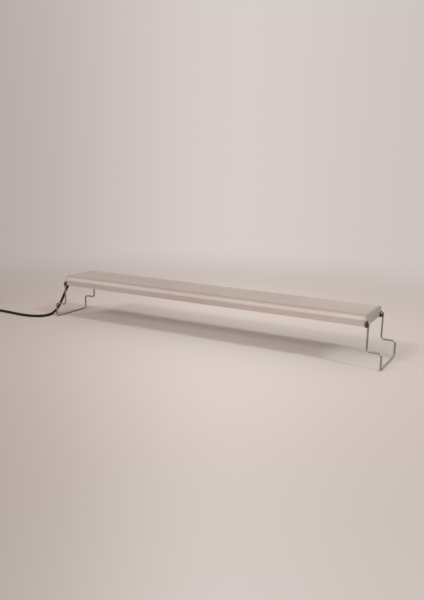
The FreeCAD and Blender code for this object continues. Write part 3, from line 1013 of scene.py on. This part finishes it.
low, high = solids_of("board_screws")[0]
board_length = (high.z - low.z) / MM
board_rings = [(0, -board_length), (1.4, -board_length), (1.4, -1.6), (2.6, -1.6), (2.6, -0.9)]
board_rings += [(2.45, -0.5), (2.05, -0.16), (1.4, -0.02), (0, 0)]
board_screw = screw("board_screw", board_rings, 1.5 * MM, 1.0 * MM)
board_places = tops("board_screws", DOWN)
board_set = copied(
    "board_screw_set",
    board_screw,
    board_places,
    finish["zinc-plated steel"],
    "zinc_screw",
    "board_screws",
    turn=ANY_TURN,
    seed=7,
)
print("board screws", len(board_places), "faces", len(board_set.data.polygons))

# %% [markdown]
# ## LEDs
# Each LED is a white case of 3.5 by 2.8 mm with a round cup in its face. The cup of a white one
# is filled with yellow phosphor gel, and that of a blue one with clear gel, a little domed. There
# are 78, and the case and the gel have only a few dozen faces each.

# %% LEDs
LED_HALF_L, LED_HALF_W, LED_T = 1.75 * MM, 1.4 * MM, 0.8 * MM
CUP_R, CUP_DEPTH, CASE_CHAMFER = 1.15 * MM, 0.3 * MM, 0.1 * MM
LED_STEPS = 16
led_case = ringed(
    "led_case",
    [
        (0, 0, -LED_T, SQUARE),
        (LED_HALF_L, LED_HALF_W, -LED_T, SQUARE),
        (LED_HALF_L, LED_HALF_W, -CASE_CHAMFER, SQUARE),
        (LED_HALF_L - CASE_CHAMFER, LED_HALF_W - CASE_CHAMFER, 0, SQUARE),
        (CUP_R, CUP_R, 0, ROUND),
        (CUP_R * 0.8, CUP_R * 0.8, -CUP_DEPTH, ROUND),
        (0, 0, -CUP_DEPTH, ROUND),
    ],
    LED_STEPS,
)
led_gel = ringed(
    "led_gel",
    [
        (0, 0, -CUP_DEPTH, ROUND),
        (CUP_R * 0.78, CUP_R * 0.78, -CUP_DEPTH, ROUND),
        (CUP_R * 0.97, CUP_R * 0.97, -0.04 * MM, ROUND),
        (CUP_R * 0.6, CUP_R * 0.6, 0.0, ROUND),
        (0, 0, 0.0, ROUND),
    ],
    LED_STEPS,
)
for kind, gel in (("white", finish["yellow phosphor gel"]), ("blue", finish["clear LED gel"])):
    node = kind + "_leds"
    places = tops(node, DOWN)
    copied(
        kind + "_led_cases", led_case, places, finish["white LED case"], nodes_slot[node], node
    )
    copied(kind + "_led_gels", led_gel, places, gel, nodes_slot[node])
    print(kind, "LEDs", len(places))

# %% [markdown]
# ## The plug's grip
# The round plug has a moulded PVC grip with finger ribs and a taper towards the lead. The grip is
# a stack of rings like the screws, laid along Y at the CAD node's place, and the ribs are copies
# of one thin ring.

# %% Plug grip
low, high = (Vector(corner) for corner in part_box("plug_grip"))
GRIP_R, TAPER_TIP_R = 5.0 * MM, 3.2 * MM
GRIP_STEPS = 48
TAPER_L, GRIP_LENGTH = 10.0 * MM, high.y - low.y
RIB_COUNT, RIB_SPACING, RIB_HEIGHT = 6, 2.2 * MM, 0.35 * MM
grip_middle = Vector(((low.x + high.x) / 2, 0, (low.z + high.z) / 2))
core_r = GRIP_R - RIB_HEIGHT
grip_rings = [
    (0, 0.0),
    (TAPER_TIP_R - 0.3 * MM, 0.0),
    (TAPER_TIP_R, 0.4 * MM),
    (TAPER_TIP_R + (core_r - TAPER_TIP_R) * 0.5, TAPER_L * 0.55),
    (core_r, TAPER_L),
    (core_r, GRIP_LENGTH - 3.6 * MM),
    (GRIP_R, GRIP_LENGTH - 3.0 * MM),
    (GRIP_R, GRIP_LENGTH - 0.5 * MM),
    (GRIP_R - 0.5 * MM, GRIP_LENGTH),
    (0, GRIP_LENGTH),
]
grip_mesh = ringed("plug_grip_moulding", [(r, r, z, ROUND) for r, z in grip_rings], GRIP_STEPS)
TO_BACK = (0, 1, 0)
copied(
    "plug_grip_moulding",
    grip_mesh,
    [(grip_middle + Vector((0, low.y, 0)), TO_BACK, 1.0)],
    finish["moulded black PVC"],
    nodes_slot["plug_grip"],
    "plug_grip",
)
rib_rings = [
    (core_r - 0.3 * MM, -0.5 * MM),
    (core_r, -0.5 * MM),
    (GRIP_R - 0.05 * MM, -0.3 * MM),
    (GRIP_R, 0.0),
    (GRIP_R - 0.05 * MM, 0.3 * MM),
    (core_r, 0.5 * MM),
    (core_r - 0.3 * MM, 0.5 * MM),
    (core_r - 0.3 * MM, -0.5 * MM),
]
rib_mesh = ringed("plug_rib", [(r, r, z, ROUND) for r, z in rib_rings], GRIP_STEPS)
first_rib = low.y + TAPER_L + 1.2 * MM
ribs = [
    (grip_middle + Vector((0, first_rib + i * RIB_SPACING, 0)), TO_BACK, 1.0)
    for i in range(RIB_COUNT)
]
copied(
    "plug_grip_ribs", rib_mesh, ribs, finish["moulded black PVC"], nodes_slot["plug_grip"]
)
print("grip ribs", RIB_COUNT)

# %% [markdown]
# ## Tones of the background paper, with painted shade
# A picture like this is taken on a sweep of pale paper, with no edge or horizon in view. Here the
# floor's far part turns into the same even tone as the world behind it. Seen from the camera's
# place, the tone is darker to the left and a little to the right, which is painted shade for
# light that falls off there. So it is worked out from the way out from the camera alone, by one
# function for both. Another tells which rays see that tone, and which see the light.

# %% Paper tones
ACROSS_PICTURE = (0.878, 0.479, 0.0)
FAR_LEFT, FAR_RIGHT = -0.40, 0.33
# painted shade: the first stop is darker and the last a little darker, for light falling off to
# the left and far right
PAPER_TONES_AND_SHADE = {0.0: "#B4A8A4", 0.60: "#D7CDC9", 1.0: "#CFC5C0"}


def paper_tone_and_painted_shade(tree, way):
    """Paper colour with its painted shade, for a way out from the camera's place, left to right.
    """
    across = add(
        tree, "ShaderNodeVectorMath", {0: way, 1: ACROSS_PICTURE}, operation="DOT_PRODUCT"
    )
    share = add(
        tree,
        "ShaderNodeMapRange",
        {"Value": across.outputs["Value"], "From Min": FAR_LEFT, "From Max": FAR_RIGHT},
    )
    ramp = add(tree, "ShaderNodeValToRGB", {"Fac": share.outputs[0]})
    ramp.color_ramp.interpolation = "EASE"
    stops = ramp.color_ramp.elements
    stops.new(0.5)
    for stop, (position, tone) in zip(stops, PAPER_TONES_AND_SHADE.items()):
        stop.position = position
        stop.color = linear(tone)
    return ramp.outputs["Color"]


def seen_directly(tree, *rays):
    """1 for rays of the given kinds, and 0 for the others."""
    light_path = add(tree, "ShaderNodeLightPath")
    seen = light_path.outputs[rays[0]]
    for ray in rays[1:]:
        both = {0: seen, 1: light_path.outputs[ray]}
        seen = add(tree, "ShaderNodeMath", both, operation="MAXIMUM").outputs[0]
    return seen


print("paper tones", PAPER_TONES_AND_SHADE)

# %% [markdown]
# ## The paper floor
# Paper is matt and a little fibrous. Its real fibres are too fine to show, so they are drawn
# 2.5 mm apart. One large sheet lies under the object. Its colour has a painted pool of light:
# it is brightest round the bar, and further out it fades into the even tone of the backdrop.

# %% Paper floor
FLOOR_HALF = 12.0
FADE_START, FADE_END = 0.34, 1.2
# painted pool of light: between these distances from the bar the paper's colour drops from its
# near share to its far share
PAINTED_POOL_START, PAINTED_POOL_END = 0.15, 0.70
PAINTED_POOL_SHARE, PAINTED_EDGE_SHARE = 0.89, 0.73  # lit paper near the bar, and away from it
FIBRE = 2.5 * MM

corners = [(-FLOOR_HALF, -FLOOR_HALF, 0), (FLOOR_HALF, -FLOOR_HALF, 0)]
corners += [(FLOOR_HALF, FLOOR_HALF, 0), (-FLOOR_HALF, FLOOR_HALF, 0)]
sheet_mesh = bpy.data.meshes.new("paper_floor")
sheet_mesh.from_pydata(corners, [], [(0, 1, 2, 3)])
paper_floor = new_piece("paper_floor", sheet_mesh)

paper, tree, shader = start_material("matt background paper", Roughness=0.9)
place = add(tree, "ShaderNodeTexCoord")
from_camera = {0: place.outputs["Object"], 1: CAMERA_PLACE}
outward = add(tree, "ShaderNodeVectorMath", from_camera, operation="SUBTRACT")
way = add(tree, "ShaderNodeVectorMath", {0: outward.outputs[0]}, operation="NORMALIZE")
# the paper's tone carries its painted shade to the left and far right
tone = paper_tone_and_painted_shade(tree, way.outputs[0])
fibres = add(
    tree,
    "ShaderNodeTexNoise",
    {"Vector": place.outputs["Object"], "Scale": 1 / FIBRE, "Detail": 3.0},
)
bump = add(
    tree,
    "ShaderNodeBump",
    {"Height": fibres.outputs["Fac"], "Strength": 0.1, "Distance": 0.1 * MM},
)
tree.links.new(bump.outputs[0], shader.inputs["Normal"])
away = add(tree, "ShaderNodeVectorMath", {0: place.outputs["Object"]}, operation="LENGTH")
# painted pool of light: the paper's colour is scaled brighter near the bar than away from it
painted_pool = add(
    tree,
    "ShaderNodeMapRange",
    {
        "Value": away.outputs["Value"],
        "From Min": PAINTED_POOL_START,
        "From Max": PAINTED_POOL_END,
        "To Min": PAINTED_POOL_SHARE,
        "To Max": PAINTED_EDGE_SHARE,
    },
    interpolation_type="SMOOTHSTEP",
)
lit = add(tree, "ShaderNodeVectorMath", {0: tone, "Scale": painted_pool.outputs[0]}, operation="SCALE")
tree.links.new(lit.outputs[0], shader.inputs["Base Color"])
fade = add(
    tree,
    "ShaderNodeMapRange",
    {"Value": away.outputs["Value"], "From Min": FADE_START, "From Max": FADE_END},
    interpolation_type="SMOOTHSTEP",
)
seen = seen_directly(tree, "Is Camera Ray", "Is Glossy Ray", "Is Transmission Ray")
faded = add(tree, "ShaderNodeMath", {0: seen, 1: fade.outputs[0]}, operation="MULTIPLY")
even = add(tree, "ShaderNodeEmission", {"Color": tone})
mixed = add(
    tree,
    "ShaderNodeMixShader",
    {0: faded.outputs[0], 1: shader.outputs[0], 2: even.outputs[0]},
)
tree.links.new(mixed.outputs[0], tree.nodes["Material Output"].inputs["Surface"])
sheet_mesh.materials.append(paper)
print("paper floor", 2 * FLOOR_HALF, "m square")

# %% [markdown]
# ## The room
# Most of the light comes from the room, which is the world here: pale walls all round, a dimmer
# ceiling, and a bright patch up in front that puts the soft highlight on the bar's rounded edge.
# The walls are warm on one side and dimmer on the other. Rays from the camera see the backdrop's
# even tone, with its painted shade, in its place, so the room can be as bright as the light
# needs.

# %% Room
WALL_LIGHT, CEILING_LIGHT = 0.82, 0.62
WALL_TOP, CEILING_START = 0.15, 0.85
FRONT_WAY, FRONT_SHARE, BACK_SHARE = (-0.05, -0.68, 0.73), 3.4, 1.0
PATCH_RIM, PATCH_HEART = 0.55, 0.98
WARM_WAY = (0.70, 0.714, 0.0)
SIDE_END = 0.35
WARM_SIDE, WARM_WALL = (0.60, 0.525, 0.49, 1), (1.13, 1.0, 0.91, 1)

world = bpy.data.worlds.new("studio")
bpy.context.scene.world = world
world.use_nodes = True
tree = world.node_tree
place = add(tree, "ShaderNodeTexCoord")
way = place.outputs["Generated"]
upward = add(tree, "ShaderNodeSeparateXYZ", {0: way})
height = add(
    tree,
    "ShaderNodeMapRange",
    {
        "Value": upward.outputs["Z"],
        "From Min": WALL_TOP,
        "From Max": CEILING_START,
        "To Min": WALL_LIGHT,
        "To Max": CEILING_LIGHT,
    },
    interpolation_type="SMOOTHSTEP",
)
frontward = add(tree, "ShaderNodeVectorMath", {0: way, 1: FRONT_WAY}, operation="DOT_PRODUCT")
front = add(
    tree,
    "ShaderNodeMapRange",
    {
        "Value": frontward.outputs["Value"],
        "From Min": PATCH_RIM,
        "From Max": PATCH_HEART,
        "To Min": BACK_SHARE,
        "To Max": FRONT_SHARE,
    },
    interpolation_type="SMOOTHSTEP",
)
strength = add(
    tree, "ShaderNodeMath", {0: height.outputs[0], 1: front.outputs[0]}, operation="MULTIPLY"
)
sideward = add(tree, "ShaderNodeVectorMath", {0: way, 1: WARM_WAY}, operation="DOT_PRODUCT")
side_share = add(
    tree,
    "ShaderNodeMapRange",
    {"Value": sideward.outputs["Value"], "From Min": 0.0, "From Max": SIDE_END},
    interpolation_type="SMOOTHSTEP",
)
fill_colour = add(
    tree,
    "ShaderNodeMix",
    {0: side_share.outputs[0], 6: WARM_SIDE, 7: WARM_WALL},
    data_type="RGBA",
)
fill = tree.nodes["Background"]
tree.links.new(fill_colour.outputs[2], fill.inputs["Color"])
tree.links.new(strength.outputs[0], fill.inputs["Strength"])
# the backdrop seen from the camera takes the same tone and its painted shade
backdrop = add(tree, "ShaderNodeBackground", {"Color": paper_tone_and_painted_shade(tree, way)})
mixed = add(
    tree,
    "ShaderNodeMixShader",
    {
        0: seen_directly(tree, "Is Camera Ray", "Is Transmission Ray"),
        1: fill.outputs[0],
        2: backdrop.outputs[0],
    },
)
tree.links.new(mixed.outputs[0], tree.nodes["World Output"].inputs["Surface"])
print("room", world.name)

# %% [markdown]
# ## The softboxes
# A tall, narrow softbox high on the right makes the crisp shadows. A weaker one at the front left
# lights the rear of the first one's shadow less than its front, which leaves the dark core. The
# front one is hidden from the metal, as a scrim would hide it, and would else draw a hard line
# there. A lamp shines along its own -Z, so each is turned until that points at the middle of the
# bar.

# %% Softboxes
LAMPS = {
    # name: (place, width, height, watts, colour, seen in metal)
    "right_softbox": ((3.66, -0.84, 3.10), 0.28, 1.1, 86, (0.80, 1.0, 1.05), True),
    "front_softbox": ((-1.00, -2.50, 2.15), 0.6, 0.6, 36, (1.0, 0.99, 1.02), False),
}
LAMP_AIM = Vector((0, 0, 0.05))

for name, (place, width, height, watts, tint, seen_in_metal) in LAMPS.items():
    lamp = bpy.data.lights.new(name, "AREA")
    lamp.shape = "RECTANGLE"
    lamp.size = width
    lamp.size_y = height
    lamp.energy = watts
    lamp.color = tint
    lamp_stand = bpy.data.objects.new(name, lamp)
    bpy.context.scene.collection.objects.link(lamp_stand)
    lamp_stand.location = place
    lamp_stand.visible_glossy = seen_in_metal
    lamp_stand.rotation_mode = "QUATERNION"
    lamp_stand.rotation_quaternion = (LAMP_AIM - Vector(place)).to_track_quat("-Z", "Y")
print("lamps", list(LAMPS))
